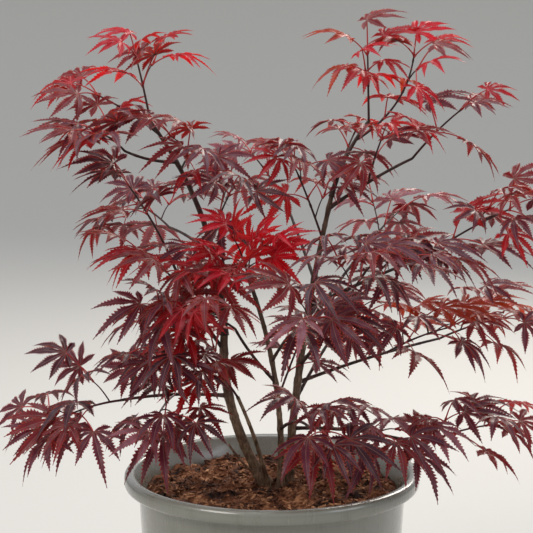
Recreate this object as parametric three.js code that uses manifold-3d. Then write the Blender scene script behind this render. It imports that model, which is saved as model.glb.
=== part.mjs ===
// A Japanese maple in a round pot: a clump of slender stems from one root, boughs that
// spread from them, and sprays of seven-lobed leaves. Millimetres, +Z up, with the
// origin at the centre of the pot's flat underside, +X to the right and +Y to the back.

import * as THREE from "three";
import { mergeVertices } from "three/addons/utils/BufferGeometryUtils.js";
import Module from "manifold-3d";

const wasm = await Module();
wasm.setup();

// Driving dimensions: the pot and its soil.
const RIM_RADIUS = 160;
const RIM_BEAD = 16;
const BEAD_ROUND = 6.7;
const BEAD_EDGE = 2.9;
const RIM_INNER = 147.5;
const POT_HEIGHT = 270;
const FOOT_RADIUS = 130;
const FOOT_EDGE = 4;
const SHOULDER_RADIUS = 144.5;
const WALL = 5;
const FLOOR = 6;
const SOIL_LEVEL = 250;
const SOIL_BUMP = 1.6;
const SOIL_WAVE = 0.12;
const SOIL_FLAT_RADIUS = 38;
const SOIL_RINGS = [1, 0.8, 0.62, 0.44];
const POT_SIDES = 36;

// Driving dimensions: clearances and limbs.
const GAP = 0.3;
const STEM_SIDES = 7;
const BOUGH_SIDES = 5;
const LIMB_STEP = 36;
const FLARE_HEIGHT = 14;
const STEEP = 0.8;

// Driving dimensions: twigs. Angles are in degrees.
const MAIN_TWIG = { radii: [1.8, 1.4], sides: 3, steps: 3 };
const SIDE_TWIG = { radii: [1.4, 1.4], sides: 3, steps: 1 };
const SIDE_TWIG_LENGTH = 36;
const TWIG_BOW = [0, 0, 3];
const NODE_SPACING = 36;
const PAIR_TURN = 90;
const FIRST_TURN = 20;
const TURN_VARIES = 30;
const STALK_OPEN = 52;
const STALK_OPEN_VARIES = 12;
const UPRIGHT_SHARE = 0.6;
const PAIR_OFFSET = 1.2;
const NEARLY_UPRIGHT = 0.2;

// Driving dimensions: leaves. Angles are in degrees, and the shares are of a length.
const LEAF = 56;
const LEAF_VARIES = 0.12;
const FOOT_LEAF = 1.1;
const TIP_LEAF = 0.85;
const LAST_LEAF = 0.8;
const SIDE_TWIG_LEAF = 0.9;
const STALK = 30;
const STALK_VARIES = 0.25;
const STALK_HALF_WIDTH = 0.55;
const STALK_HALF_THICKNESS = 0.45;
const STALK_TURN = 40;
const STALK_RISE = 0.5;
const LEAF_HALF_THICKNESS = 1.1;
const LOBE_DROOP = 0.34;
const CROWN_TOP = 740;
const CROWN_DEPTH = 440;
const LEAF_DROOP = [2, 16];
const LEAF_DROOP_VARIES = 16;
const LEAF_OUTWARD = 0.55;
const LEAF_SWING = 24;
const FACE_OUTWARD = [0.2, 0.35];
const FACE_TO_LIGHT = [0.1, 0.5];
const LIGHT_SIDE = new THREE.Vector3(0, -1, 0);
const FACE_ROLL = 30;
const LEAF_GAP = 0.5;
const STALK_CLEAR = 0.3;
const SPRAY_REACH = 120;
const REACH_MARKS = 8;
const TRIES = 30;

// One leaf's lobes, from the middle one outwards to the small one beside the stalk: the
// angle from the leaf's axis in degrees, and the reach as a share of the leaf's length.
// Between them lie the notches, and the last notch is where the stalk comes in.
const LOBES = [
  { angle: 0, reach: 1 },
  { angle: 32, reach: 0.94 },
  { angle: 69, reach: 0.72 },
  { angle: 116, reach: 0.38 },
];
const NOTCHES = [
  { angle: 16, reach: 0.36 },
  { angle: 50, reach: 0.33 },
  { angle: 92, reach: 0.24 },
];
const STALK_NOTCH = { angle: 17, reach: 0.07 };

// The limbs. A stem's foot is [right, back] on the soil, and a bough leaves the limb that
// it is on at a share of that limb's length. The tip is [right, back, up], the bow is how
// far the limb's middle stands off the straight line, and the radii are at foot and tip.
const LIMBS = {
  stem_left: { foot: [-6, 6], tip: [-51, 0, 418], bow: [-14, 0, 0], radii: [5.8, 4.2], flare: 3.4 },
  stem_right: { foot: [17, 5], tip: [63, 0, 567], bow: [-6, 6, 0], radii: [4.9, 2.4], flare: 3 },
  stem_centre: { foot: [9, -8], tip: [-25, -60, 491], bow: [12, 14, 0], radii: [3.6, 2], flare: 2 },
  stem_front: { foot: [-3, -13], tip: [-36, -44, 360], bow: [3, 3, 0], radii: [2.4, 1.8], flare: 1.4 },
  dead_shoot: { on: "stem_left", at: 0.04, tip: [-46, -18, 302], bow: [-2, 0, -2], radii: [1.4, 1.2] },
  leader_left: { on: "stem_left", at: 1, tip: [-128, 0, 647], bow: [18, 6, 4], radii: [4, 1.9] },
  leader_right: { on: "stem_right", at: 1, tip: [102, 0, 647], bow: [-4, 3, 2], radii: [2.5, 1.7] },
  bough_left_low: {
    on: "stem_left", at: 0.6, tip: [-159, -50, 358],
    bow: [0, 0, 4], radii: [2.2, 1.4],
  },
  bough_left_middle: {
    on: "leader_left", at: 0.08, tip: [-111, -50, 446],
    bow: [0, 0, 8], radii: [1.9, 1.4],
  },
  bough_left_upper: {
    on: "stem_left", at: 0.9, tip: [-112, -20, 517],
    bow: [-4, -4, 0], radii: [2, 1.4],
  },
  bough_left_high: {
    on: "leader_left", at: 0.8, tip: [-153, -30, 618],
    bow: [0, -4, -3], radii: [1.8, 1.4],
  },
  bough_centre_left: {
    on: "stem_centre", at: 0.5, tip: [-38, -66, 437],
    bow: [-4, -2, 2], radii: [1.7, 1.4],
  },
  bough_front_low: {
    on: "stem_centre", at: 0.28, tip: [39, -92, 338],
    bow: [2, 0, 8], radii: [1.8, 1.4],
  },
  bough_front: { on: "stem_centre", at: 0.6, tip: [26, -122, 446], bow: [2, 0, 8], radii: [1.7, 1.4] },
  bough_front_right: {
    on: "stem_right", at: 0.42, tip: [74, -118, 474],
    bow: [6, 0, 6], radii: [2, 1.4],
  },
  bough_right_low: { on: "stem_right", at: 0.2, tip: [160, -42, 308], bow: [0, 0, 6], radii: [2, 1.4] },
  bough_right_middle: {
    on: "stem_right", at: 0.62, tip: [162, -10, 504],
    bow: [2, 0, 3], radii: [2.2, 1.4],
  },
  bough_right_high: {
    on: "stem_right", at: 0.96, tip: [148, -4, 608],
    bow: [2, 0, 4], radii: [2, 1.4],
  },
  bough_right_back: {
    on: "stem_right", at: 0.36, tip: [189, 80, 399],
    bow: [0, 0, 3], radii: [2, 1.4],
  },
  bough_back_low_left: {
    on: "stem_left", at: 0.72, tip: [-84, 118, 394],
    bow: [0, 4, 6], radii: [2, 1.4],
  },
  bough_back_low_right: {
    on: "stem_right", at: 0.3, tip: [84, 128, 412],
    bow: [2, 4, 6], radii: [2, 1.4],
  },
  bough_back_left: {
    on: "leader_left", at: 0.34, tip: [-116, 118, 520],
    bow: [0, 4, 4], radii: [2, 1.4],
  },
  bough_back_right: {
    on: "stem_right", at: 0.54, tip: [112, 126, 500],
    bow: [2, 4, 6], radii: [2, 1.4],
  },
  bough_back_high: {
    on: "stem_right", at: 0.72, tip: [16, 92, 552],
    bow: [0, 6, 0], radii: [1.9, 1.4],
  },
};

// The sprays of leaves. Each grows on a limb, at its tip unless a share of its length is
// given, and its main twig ends at the point [right, back, up]. The tint is the colour of
// most of its leaves, and the leaf length is given where it isn't the usual one. The young
// tuft's leaves are lifted by some degrees, face further out, and have shorter stalks. A
// few low sprays are lifted too.
const SPRAYS = {
  spray_top_left: { on: "leader_left", end: [-143, 0, 717], tint: "crimson", leaf: 48 },
  spray_crown_left: { on: "leader_left", at: 0.93, end: [-184, 8, 674], tint: "burgundy", leaf: 58 },
  spray_high_left: { on: "bough_left_high", end: [-176, -42, 636], tint: "burgundy" },
  spray_inner_left: {
    on: "leader_left", at: 0.76, end: [-82, -34, 616],
    tint: "burgundy", leaf: 50, lift: -6,
  },
  spray_shoulder_left: { on: "bough_left_upper", end: [-150, -34, 584], tint: "purple", leaf: 52 },
  spray_breast_left: { on: "leader_left", at: 0.42, end: [-44, -46, 574], tint: "purple", leaf: 50 },
  spray_crimson: {
    on: "stem_centre", end: [-30, -90, 514],
    tint: "scarlet", leaf: 46, lift: 26, facing: 2.6, stalk: 0.55,
  },
  spray_waist_left: {
    on: "bough_left_middle", end: [-120, -96, 424],
    tint: "purple", leaf: 56, lift: 10,
  },
  spray_waist_inner: { on: "bough_left_middle", at: 0.5, end: [-108, -84, 500], tint: "burgundy" },
  spray_low_left: { on: "bough_left_low", end: [-220, -76, 344], tint: "purple", leaf: 56, lift: 14 },
  spray_low_inner_left: {
    on: "bough_left_low", at: 0.5, end: [-118, -92, 350],
    tint: "purple", leaf: 54, lift: 10,
  },
  spray_front_left: { on: "stem_front", end: [-64, -88, 404], tint: "crimson", leaf: 50 },
  spray_centre_left: { on: "bough_centre_left", end: [-82, -106, 466], tint: "crimson", leaf: 54 },
  spray_heart: { on: "stem_centre", at: 0.42, end: [42, 35, 430], tint: "purple", leaf: 50 },
  spray_front_low: { on: "bough_front_low", end: [50, -130, 344], tint: "purple", leaf: 58, lift: 8 },
  spray_front: { on: "bough_front", end: [44, -158, 464], tint: "purple", leaf: 62 },
  spray_front_right: { on: "bough_front_right", end: [100, -140, 518], tint: "purple", leaf: 54 },
  spray_right_middle: {
    on: "bough_right_middle", end: [250, -18, 556],
    tint: "burgundy", leaf: 54, lift: 4,
  },
  spray_right_inner: {
    on: "bough_right_middle", at: 0.55, end: [138, -70, 520],
    tint: "purple", leaf: 58,
  },
  spray_right_high: { on: "bough_right_high", end: [200, -2, 660], tint: "burgundy", leaf: 48 },
  spray_right_shoulder: {
    on: "bough_right_high", at: 0.45, end: [112, -52, 632],
    tint: "burgundy", leaf: 50,
  },
  spray_top_right: { on: "leader_right", end: [100, -2, 718], tint: "crimson", leaf: 48 },
  spray_crown_right: {
    on: "leader_right", at: 0.72, end: [149, 4, 716],
    bow: [12, 0, -6], tint: "crimson", leaf: 50,
  },
  spray_centre_high: { on: "stem_right", at: 0.86, end: [22, -12, 604], tint: "burgundy", leaf: 52 },
  spray_back_high: { on: "bough_back_high", end: [-24, 142, 604], tint: "purple", leaf: 46 },
  spray_back_crown: { on: "leader_right", at: 0.3, end: [94, 74, 636], tint: "burgundy", leaf: 48 },
  spray_right_back: {
    on: "bough_right_back", end: [262, 88, 420],
    tint: "burgundy", leaf: 52, lift: 10,
  },
  spray_right_waist: {
    on: "bough_right_back", at: 0.62, end: [190, -8, 428],
    tint: "burgundy", leaf: 52, lift: 8,
  },
  spray_right_low: { on: "bough_right_low", end: [226, -54, 332], tint: "burgundy", leaf: 50, lift: 8 },
  spray_right_low_inner: { on: "bough_right_low", at: 0.5, end: [116, -92, 330], tint: "purple" },
  spray_back_low_left: { on: "bough_back_low_left", end: [-120, 194, 400], tint: "purple" },
  spray_back_low_right: { on: "bough_back_low_right", end: [118, 204, 408], tint: "burgundy" },
  spray_back_left: { on: "bough_back_left", end: [-158, 182, 540], tint: "purple" },
  spray_back_right: { on: "bough_back_right", end: [152, 198, 530], tint: "purple" },
};

const potMaterial = new THREE.MeshStandardMaterial({ color: 0x8c9188, roughness: 0.45 });
const soilMaterial = new THREE.MeshStandardMaterial({ color: 0x4d2d20, roughness: 0.95 });
const barkMaterial = new THREE.MeshStandardMaterial({ color: 0x43302a, roughness: 0.8 });
const leafMaterials = {
  purple: new THREE.MeshStandardMaterial({ color: 0x55283a, roughness: 0.55 }),
  burgundy: new THREE.MeshStandardMaterial({ color: 0x6e2434, roughness: 0.55 }),
  crimson: new THREE.MeshStandardMaterial({ color: 0x9a2230, roughness: 0.55 }),
  scarlet: new THREE.MeshStandardMaterial({ color: 0xb8182c, roughness: 0.5 }),
};

const UP = new THREE.Vector3(0, 0, 1);
const BACK = new THREE.Vector3(0, 1, 0);
const point = (numbers) => new THREE.Vector3(...numbers);
const radians = THREE.MathUtils.degToRad;
const lerp = THREE.MathUtils.lerp;

// Moves each corner of a geometry to where place(corner) puts it.
function reshape(geometry, place) {
  const corners = geometry.attributes.position;
  const corner = new THREE.Vector3();
  for (let i = 0; i < corners.count; i++) {
    corner.fromBufferAttribute(corners, i);
    const moved = place(corner);
    corners.setXYZ(i, moved.x, moved.y, moved.z);
  }
  return geometry;
}

// A closed geometry as a solid that can be joined and cut.
function solidOf(geometry) {
  const bare = geometry.clone();
  bare.deleteAttribute("normal");
  bare.deleteAttribute("uv");
  const merged = mergeVertices(bare, 1e-4);
  const index = merged.index.array;
  const kept = [];
  for (let i = 0; i < index.length; i += 3) {
    const [a, b, c] = index.subarray(i, i + 3);
    if (a !== b && b !== c && c !== a) kept.push(a, b, c);
  }
  const vertProperties = new Float32Array(merged.attributes.position.array);
  return new wasm.Manifold(
    new wasm.Mesh({ numProp: 3, vertProperties, triVerts: new Uint32Array(kept) }),
  );
}

// The named mesh of a solid. Where fusing has closed off a hollow it is filled, and
// where it has left a loose scrap the scrap is dropped.
function meshOf(name, solid, material) {
  const whole = solid.decompose().sort((a, b) => b.volume() - a.volume())[0];
  const { vertProperties, triVerts } = whole.getMesh();
  const geometry = new THREE.BufferGeometry();
  geometry.setAttribute("position", new THREE.BufferAttribute(vertProperties, 3));
  geometry.setIndex(new THREE.BufferAttribute(triVerts, 1));
  geometry.computeVertexNormals();
  const mesh = new THREE.Mesh(geometry, material);
  mesh.name = name;
  return mesh;
}

// The pot: a tapered shell with a flat floor and a rolled bead round its rim.
function potProfile() {
  const beadFoot = POT_HEIGHT - RIM_BEAD;
  return [
    [0, 0],
    [FOOT_RADIUS - FOOT_EDGE, 0],
    [FOOT_RADIUS, FOOT_EDGE],
    [SHOULDER_RADIUS, beadFoot - BEAD_EDGE],
    [SHOULDER_RADIUS + BEAD_EDGE, beadFoot],
    [RIM_RADIUS - BEAD_ROUND, beadFoot],
    [RIM_RADIUS - BEAD_EDGE / 2, beadFoot + BEAD_EDGE],
    [RIM_RADIUS, beadFoot + RIM_BEAD / 2],
    [RIM_RADIUS - BEAD_EDGE, POT_HEIGHT - BEAD_EDGE],
    [RIM_RADIUS - BEAD_ROUND, POT_HEIGHT],
    [RIM_INNER + BEAD_EDGE, POT_HEIGHT],
    [RIM_INNER, POT_HEIGHT - BEAD_EDGE],
    [innerRadius(beadFoot), beadFoot],
    [innerRadius(FLOOR), FLOOR],
    [0, FLOOR],
  ];
}

// The radius of the pot's inner wall at a height.
function innerRadius(height) {
  const taper = (SHOULDER_RADIUS - FOOT_RADIUS) / (POT_HEIGHT - RIM_BEAD);
  return FOOT_RADIUS + taper * height - WALL;
}

// A solid of revolution about +Z from a profile of [radius, height] pairs.
function turned(profile) {
  const points = profile.map(([radius, height]) => new THREE.Vector2(radius, height));
  return new THREE.LatheGeometry(points, POT_SIDES).rotateX(Math.PI / 2);
}

// The soil fills the pot, flat where the stems stand and lumpy between them and the wall.
function soilGeometry() {
  const top = SOIL_LEVEL - GAP;
  const wall = innerRadius(SOIL_LEVEL) - GAP;
  const profile = [
    [0, FLOOR + GAP],
    [innerRadius(FLOOR) - GAP, FLOOR + GAP],
    ...SOIL_RINGS.map((share) => [share * wall, top]),
    [SOIL_FLAT_RADIUS, top],
    [0, top],
  ];
  return reshape(turned(profile), (corner) => {
    const isLumpy = corner.z > SOIL_LEVEL / 2 && Math.hypot(corner.x, corner.y) > SOIL_FLAT_RADIUS + 1;
    const wave = Math.sin(corner.x * SOIL_WAVE) * Math.cos(corner.y * SOIL_WAVE);
    if (isLumpy) corner.z -= SOIL_BUMP * (1 + wave);
    return corner;
  });
}

// The curve of a limb or twig: an arc through its middle, which stands off the straight
// line between its ends by the bow.
function arc(from, to, bow) {
  const middle = from.clone().lerp(to, 0.5).addScaledVector(bow, 2);
  return new THREE.QuadraticBezierCurve3(from, middle, to);
}

// A tapering bar along a curve, with flat ends. The foot of a stem is cut level, and swell
// makes the bar that much larger all round, for cutting a clearance in its neighbours.
function taperedBar({ curve, radii, flare = 0, sides, steps, level = false, swell = 0 }) {
  const chord = curve.getPoint(1).sub(curve.getPoint(0));
  const aside = Math.abs(chord.z) > STEEP * chord.length() ? BACK : UP;
  const length = curve.getLength();
  const bar = new THREE.CylinderGeometry(1, 1, 1, sides, steps);
  return reshape(bar, ({ x, y, z }) => {
    const share = y + 0.5;
    const heading = level && share < 1e-3 ? UP : curve.getTangent(share);
    const across = new THREE.Vector3().crossVectors(heading, aside).normalize();
    const over = new THREE.Vector3().crossVectors(across, heading);
    const root = flare * Math.exp((-share * length) / FLARE_HEIGHT);
    const radius = lerp(radii[0], radii[1], share) + root + swell;
    const beyond = share < 1e-3 ? -swell : share > 1 - 1e-3 ? swell : 0;
    return curve
      .getPoint(share)
      .addScaledVector(heading, beyond)
      .addScaledVector(across, x * radius)
      .addScaledVector(over, z * radius);
  });
}

// The bar of a limb, from the limb that it is on or from the soil.
function limbBar(name) {
  const { foot, on, at, tip, bow, radii, flare } = LIMBS[name];
  const from = foot ? point([...foot, SOIL_LEVEL]) : limbBar(on).curve.getPoint(at);
  const curve = arc(from, point(tip), point(bow));
  const steps = Math.max(3, Math.round(curve.getLength() / LIMB_STEP));
  return { curve, radii, flare, steps, sides: foot ? STEM_SIDES : BOUGH_SIDES, level: Boolean(foot) };
}

// A seeded row of numbers from 0 to 1, so that every run grows the same plant. Each spray,
// bud and try at opening a bud sows its own seed, so that none changes the next one.
const MODULUS = 2147483647;
const MULTIPLIER = 16807;
const SPRAY_STRIDE = 1009;
const BUD_STRIDE = 37;
const TRY_STRIDE = 7;
const TWIG_BUDS = 20;
const WARM_UP = 4;
let seed = 1;
function draw() {
  seed = (seed * MULTIPLIER) % MODULUS;
  return seed / MODULUS;
}
function sow(spray, bud, attempt) {
  seed = 1 + SPRAY_STRIDE * spray + BUD_STRIDE * bud + TRY_STRIDE * attempt;
  for (let i = 0; i < WARM_UP; i++) draw();
}
const vary = (most) => (draw() * 2 - 1) * most;

// Grows one twig: pairs of buds at even nodes, each pair turned from the one before it,
// one bud at the tip, and on a main twig a side twig in place of one bud halfway along.
// It gives the twig and then its side twig, each with its own buds.
function growTwig(curve, leafLength, isMain) {
  const nodes = Math.max(isMain ? 2 : 1, Math.round(curve.getLength() / NODE_SPACING));
  const sideNode = isMain && nodes > 2 ? Math.ceil(nodes / 2) : 0;
  const twig = { curve, ...(isMain ? MAIN_TWIG : SIDE_TWIG), buds: [] };
  const grown = [twig];
  for (let node = 1; node <= nodes; node++) {
    const share = node / nodes;
    const from = curve.getPoint(share);
    const heading = curve.getTangent(share);
    const across = new THREE.Vector3().crossVectors(heading, UP);
    if (across.length() < NEARLY_UPRIGHT) across.set(1, 0, 0);
    across.normalize();
    const over = new THREE.Vector3().crossVectors(across, heading);
    const turn = radians((node % 2) * PAIR_TURN + FIRST_TURN + vary(TURN_VARIES));
    for (const side of [-1, 1]) {
      const open = radians(STALK_OPEN + vary(STALK_OPEN_VARIES));
      const aside = across.clone().multiplyScalar(Math.cos(turn) * side);
      aside.addScaledVector(over, Math.sin(turn) * side * UPRIGHT_SHARE).normalize();
      const way = heading.clone().multiplyScalar(Math.cos(open));
      way.addScaledVector(aside, Math.sin(open));
      if (node === sideNode && side === 1) {
        const to = from.clone().addScaledVector(way, SIDE_TWIG_LENGTH * (1 + vary(STALK_VARIES)));
        grown.push(...growTwig(arc(from, to, point(TWIG_BOW)), leafLength * SIDE_TWIG_LEAF, false));
      } else {
        const start = from.clone().addScaledVector(heading, (side - 1) * PAIR_OFFSET);
        twig.buds.push({ from: start, way, length: leafLength * lerp(FOOT_LEAF, TIP_LEAF, share) });
      }
    }
  }
  const last = curve.getTangent(1);
  const start = curve.getPoint(1).addScaledVector(last, -PAIR_OFFSET);
  twig.buds.push({ from: start, way: last, length: leafLength * LAST_LEAF });
  return grown;
}

// Opens one bud into a leaf: where its stalk leaves the twig and meets the blade, which
// way the blade points, which way it faces, and its length. At the top of the crown the
// blade lies nearly level. Lower down it hangs more, and it faces more outwards and more
// towards the side that the light comes from, which is the front.
function openBud({ from, way, length }, { lift = 0, facing = 1, stalk = 1 }) {
  const root = from.clone().addScaledVector(way, STALK * stalk * (1 + vary(STALK_VARIES)));
  const outward = new THREE.Vector3(root.x, root.y, 0).normalize();
  const low = THREE.MathUtils.clamp((CROWN_TOP - root.z) / CROWN_DEPTH, 0, 1);
  const droop = radians(lerp(...LEAF_DROOP, low) - lift + vary(LEAF_DROOP_VARIES));
  const axis = new THREE.Vector3(way.x, way.y, 0).addScaledVector(outward, LEAF_OUTWARD).normalize();
  axis.applyAxisAngle(UP, radians(vary(LEAF_SWING))).multiplyScalar(Math.cos(droop));
  axis.addScaledVector(UP, STALK_RISE * way.z - Math.sin(droop)).normalize();
  const face = UP.clone().addScaledVector(outward, lerp(...FACE_OUTWARD, low) * facing);
  face.addScaledVector(LIGHT_SIDE, lerp(...FACE_TO_LIGHT, low));
  face.addScaledVector(axis, -face.dot(axis)).normalize();
  face.applyAxisAngle(axis, radians(vary(FACE_ROLL)));
  return { from, root, axis, face, length: length * (1 + vary(LEAF_VARIES)) };
}

// The rim of a leaf, once round: the two corners of the stalk's end, then the notches and
// the tips of the lobes in turn. Each is a corner in the leaf's own frame: across, along
// and above its plane. The stalk leaves between the two small lobes, at its own angle.
function leafRim(length, stalkEnd, swell) {
  const around = (angle, reach) => {
    const far = reach * length + swell;
    const drop = LOBE_DROOP * reach * far;
    return new THREE.Vector3(-Math.sin(angle) * far, Math.cos(angle) * far, -drop);
  };
  const half = LOBES.flatMap((lobe, i) => (i < NOTCHES.length ? [lobe, NOTCHES[i]] : [lobe]));
  const left = half.slice(1).map(({ angle, reach }) => ({ angle: -angle, reach }));
  const blade = [...left.reverse(), ...half].map(({ angle, reach }) => around(radians(angle), reach));
  const stalkAngle = Math.atan2(-stalkEnd.x, stalkEnd.y);
  const aside = new THREE.Vector3(-Math.cos(stalkAngle), -Math.sin(stalkAngle), 0);
  const corner = (side) => stalkEnd.clone().addScaledVector(aside, side * (STALK_HALF_WIDTH + swell));
  const notch = (side) => around(stalkAngle + radians(STALK_NOTCH.angle * side), STALK_NOTCH.reach);
  return [corner(-1), corner(1), notch(1), ...blade, notch(-1)];
}

// A leaf as a solid star with its stalk: a lathe of one column for each corner of the rim,
// thickest where the lobes meet and sharp round the rim. Only the stalk's first corner is
// an upright edge, so that the stalk is a bar with three corners. There is no leaf where
// the stalk would leave too far to the side.
const STAR = [
  new THREE.Vector2(0, -1),
  new THREE.Vector2(1, -0.5),
  new THREE.Vector2(1, 0.5),
  new THREE.Vector2(0, 1),
];
function leafSolid({ from, root, axis, face, length }, swell = 0) {
  const across = new THREE.Vector3().crossVectors(axis, face);
  const place = new THREE.Matrix4().makeBasis(across, axis, face).setPosition(root);
  const stalkEnd = from.clone().applyMatrix4(place.clone().invert());
  if (Math.abs(Math.atan2(stalkEnd.x, -stalkEnd.y)) > radians(STALK_TURN)) return null;
  const rim = leafRim(length, stalkEnd, swell);
  const star = reshape(new THREE.LatheGeometry(STAR, rim.length), ({ x, y, z }) => {
    if (Math.hypot(x, z) < 0.5) return new THREE.Vector3(0, 0, y * (LEAF_HALF_THICKNESS + swell));
    const column = Math.round((Math.atan2(x, z) / (2 * Math.PI) + 1) * rim.length) % rim.length;
    const corner = rim[column].clone();
    if (column === 0) corner.z += 2 * y * (STALK_HALF_THICKNESS + swell);
    return corner;
  });
  return solidOf(star.applyMatrix4(place));
}

// Whether two boxes of solids meet.
function boxesMeet(a, b) {
  return [0, 1, 2].every((i) => a.min[i] <= b.max[i] && b.min[i] <= a.max[i]);
}

// Whether a solid touches any of those that stand already.
function touches(solid, standing) {
  const box = solid.boundingBox();
  return standing.some(
    (other) => boxesMeet(box, other.box) && !solid.intersect(other.solid).isEmpty(),
  );
}

// Whether a leaf keeps within the spray's own space, which is all that lies near its twig.
function staysNear(curve, solid) {
  const marks = curve.getPoints(REACH_MARKS);
  const { vertProperties } = solid.getMesh();
  const corner = new THREE.Vector3();
  for (let i = 0; i < vertProperties.length; i += 3) {
    corner.fromArray(vertProperties, i);
    if (Math.min(...marks.map((mark) => mark.distanceTo(corner))) > SPRAY_REACH) return false;
  }
  return true;
}

const plant = new THREE.Group();
const standing = [];
const stand = (solid) => standing.push({ solid, box: solid.boundingBox() });

const pot = solidOf(turned(potProfile()));
plant.add(meshOf("pot", pot, potMaterial));
stand(pot);
const soil = solidOf(soilGeometry());
plant.add(meshOf("soil", soil, soilMaterial));

const swollen = {};
for (const [name, { on }] of Object.entries(LIMBS)) {
  const bar = limbBar(name);
  swollen[name] = solidOf(taperedBar({ ...bar, swell: GAP }));
  const whole = solidOf(taperedBar(bar));
  plant.add(meshOf(name, on ? whole.subtract(swollen[on]) : whole, barkMaterial));
}
Object.values(swollen).forEach(stand);

// Every spray's main twig stands before the leaves open, so that none grows through it.
const mainTwigs = Object.values(SPRAYS).map(({ on, at = 1, end, bow = TWIG_BOW }) => {
  const curve = arc(limbBar(on).curve.getPoint(at), point(end), point(bow));
  const solid = solidOf(taperedBar({ curve, ...MAIN_TWIG, swell: LEAF_GAP }));
  stand(solid);
  return { curve, solid };
});

Object.entries(SPRAYS).forEach(([name, { on, tint, leaf = LEAF, ...posture }], i) => {
  sow(i, 0, 0);
  const { curve, solid: ownTwig } = mainTwigs[i];
  const others = standing.filter(({ solid }) => solid !== swollen[on] && solid !== ownTwig);
  const stems = [];
  const open = [];
  growTwig(curve, leaf, true).forEach((twig, order) => {
    if (order > 0 && touches(solidOf(taperedBar({ ...twig, swell: LEAF_GAP })), others)) return;
    stems.push(solidOf(taperedBar(twig)));
    twig.buds.forEach((bud, n) => {
      for (let attempt = 0; attempt < TRIES; attempt++) {
        sow(i, TWIG_BUDS * order + n + 1, attempt);
        const grown = openBud(bud, posture);
        const clear = grown.from.clone().lerp(grown.root, STALK_CLEAR);
        const tested = leafSolid({ ...grown, from: clear }, LEAF_GAP);
        if (!tested || touches(tested, others) || touches(tested, open)) continue;
        if (!staysNear(curve, tested)) continue;
        const solid = leafSolid(grown);
        open.push({ solid, box: solid.boundingBox() });
        break;
      }
    });
  });
  const grown = wasm.Manifold.union([...stems, ...open.map(({ solid }) => solid)]);
  const solid = grown.subtract(swollen[on]);
  plant.add(meshOf(name, solid, leafMaterials[tint]));
  stand(solid);
});
export default plant;
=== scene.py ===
"""A young Japanese maple in a round pot, as it is put together: the pot, its compost, the
stems and boughs, the twigs, the leaf stalks and the leaves. Metres, with the origin at the
centre of the pot's underside, +X to the right, +Y to the back and +Z up."""

import math

import bpy
import numpy as np
from mathutils import Matrix, Vector, noise


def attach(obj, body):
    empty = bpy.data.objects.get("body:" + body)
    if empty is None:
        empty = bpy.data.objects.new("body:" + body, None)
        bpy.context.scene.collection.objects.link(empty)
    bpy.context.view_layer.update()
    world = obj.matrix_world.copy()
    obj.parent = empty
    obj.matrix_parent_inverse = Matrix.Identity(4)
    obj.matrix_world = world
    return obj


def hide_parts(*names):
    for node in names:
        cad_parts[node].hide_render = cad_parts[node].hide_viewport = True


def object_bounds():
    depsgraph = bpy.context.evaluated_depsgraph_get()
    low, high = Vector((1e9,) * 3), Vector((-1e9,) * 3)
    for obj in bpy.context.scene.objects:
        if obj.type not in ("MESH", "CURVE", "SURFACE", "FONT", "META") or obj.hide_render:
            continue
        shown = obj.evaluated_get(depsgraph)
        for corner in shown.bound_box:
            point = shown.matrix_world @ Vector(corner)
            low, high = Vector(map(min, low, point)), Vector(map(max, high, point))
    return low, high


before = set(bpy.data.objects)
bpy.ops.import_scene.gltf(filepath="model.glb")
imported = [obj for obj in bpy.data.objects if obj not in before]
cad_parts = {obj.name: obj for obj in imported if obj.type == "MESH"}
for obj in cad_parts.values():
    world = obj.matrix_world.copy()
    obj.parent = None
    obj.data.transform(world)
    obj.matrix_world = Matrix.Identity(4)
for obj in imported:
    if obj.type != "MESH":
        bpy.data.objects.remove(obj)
cad_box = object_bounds()
MM = 0.001

# The camera. It stands 1.7 m in front of the pot, level with the top of the crown, and
# looks a little down on it. Its lens is a short telephoto, and its frame is square.
CAMERA_PLACE = (-5.7 * MM, -1700 * MM, 741 * MM)
CAMERA_DOWN = math.radians(8.32)
SENSOR_WIDTH = 36
LENS = 108.8

lens = bpy.data.cameras.new("camera")
lens.sensor_width = SENSOR_WIDTH
lens.lens = LENS
camera = bpy.data.objects.new("camera", lens)
camera.location = CAMERA_PLACE
camera.rotation_euler = (math.pi / 2 - CAMERA_DOWN, 0, 0)
bpy.context.collection.objects.link(camera)
bpy.context.scene.camera = camera

# The studio. A round floor of pale matt paper turns up into a wall far out on all sides.
# Large soft lamps stand front left, front right and behind, and one hangs overhead.
FLOOR_RADIUS = 4.5
WALL_RADIUS = 7.0
WALL_HEIGHT = 1.3
FLOOR_SIDES = 96
SWEEP_STEPS = 12
PAPER = "#c2c0bc"
SKY = "#eef1f4"
SKY_STRENGTH = 0.75
# Each lamp has its place, its width in metres, its power in watts and its colour.
LAMPS = {
    "lamp_left": ((-1.9, -1.9, 2.1), 1.5, 38, "#fff8f0"),
    "lamp_right": ((2.2, -1.3, 1.5), 1.3, 10, "#f0f4ff"),
    "lamp_back": ((0.9, 2.1, 1.9), 1.3, 42, "#fff6ea"),
    "lamp_top": ((-0.2, 0.1, 2.9), 1.8, 34, "#f6f9ff"),
}
LAMP_AIM = Vector((0, 0, 0.45))


def linear(colour):
    """The linear red, green, blue and alpha of an sRGB hex colour."""
    parts = [int(colour[i : i + 2], 16) / 255 for i in (1, 3, 5)]
    bent = [c / 12.92 if c <= 0.04045 else ((c + 0.055) / 1.055) ** 2.4 for c in parts]
    return (*bent, 1.0)


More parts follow.
